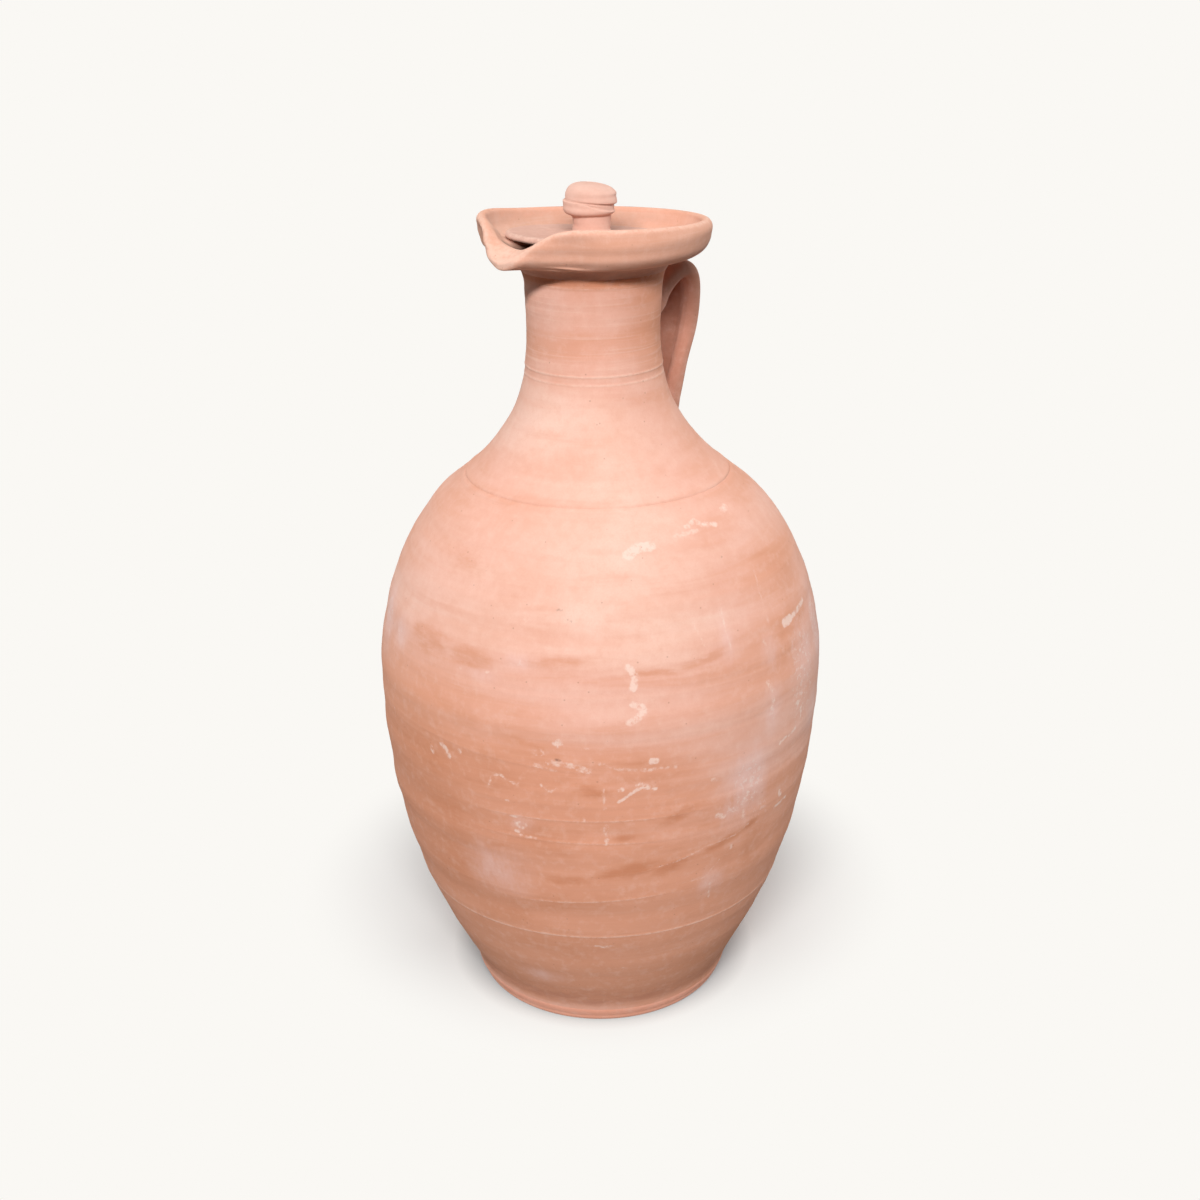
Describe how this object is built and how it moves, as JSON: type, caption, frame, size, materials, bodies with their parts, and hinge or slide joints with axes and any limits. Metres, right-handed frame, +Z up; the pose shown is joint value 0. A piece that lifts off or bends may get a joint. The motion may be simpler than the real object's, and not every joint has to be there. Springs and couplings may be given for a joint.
{
  "type": "terracotta water jar",
  "caption": "Unglazed terracotta water jar with a round belly, a narrow neck, a strap handle, a bowl mouth pressed into a pouring lip, and a loose knobbed lid.",
  "frame": {"origin": "middle of the foot's flat underside, on the jar's turning axis", "axes": "+Z up along the turning axis; the pouring lip points along -X and the handle along +X"},
  "size_m": [0.2228, 0.2228, 0.418],
  "materials": {
    "terracotta_red": "unglazed, matte, orange-brown, with throwing lines and lime marks",
    "terracotta_pale": "unglazed, matte, pale peach, with throwing lines",
    "terracotta_lid": "unglazed, matte, pale pink"
  },
  "bodies": {
    "jar": {"foot": "terracotta_red", "lower_body": "terracotta_red", "upper_body": "terracotta_pale", "shoulder_cone": "terracotta_pale", "neck": "terracotta_pale", "mouth": "terracotta_pale", "handle": "terracotta_pale"},
    "lid": {"lid": "terracotta_lid", "lid_knob": "terracotta_lid"}
  },
  "joints": [
    {"name": "lid_lift", "type": "slide", "parent": "jar", "child": "lid", "axis": [0, 0, 1], "range_m": [0, 0.08]}
  ]
}
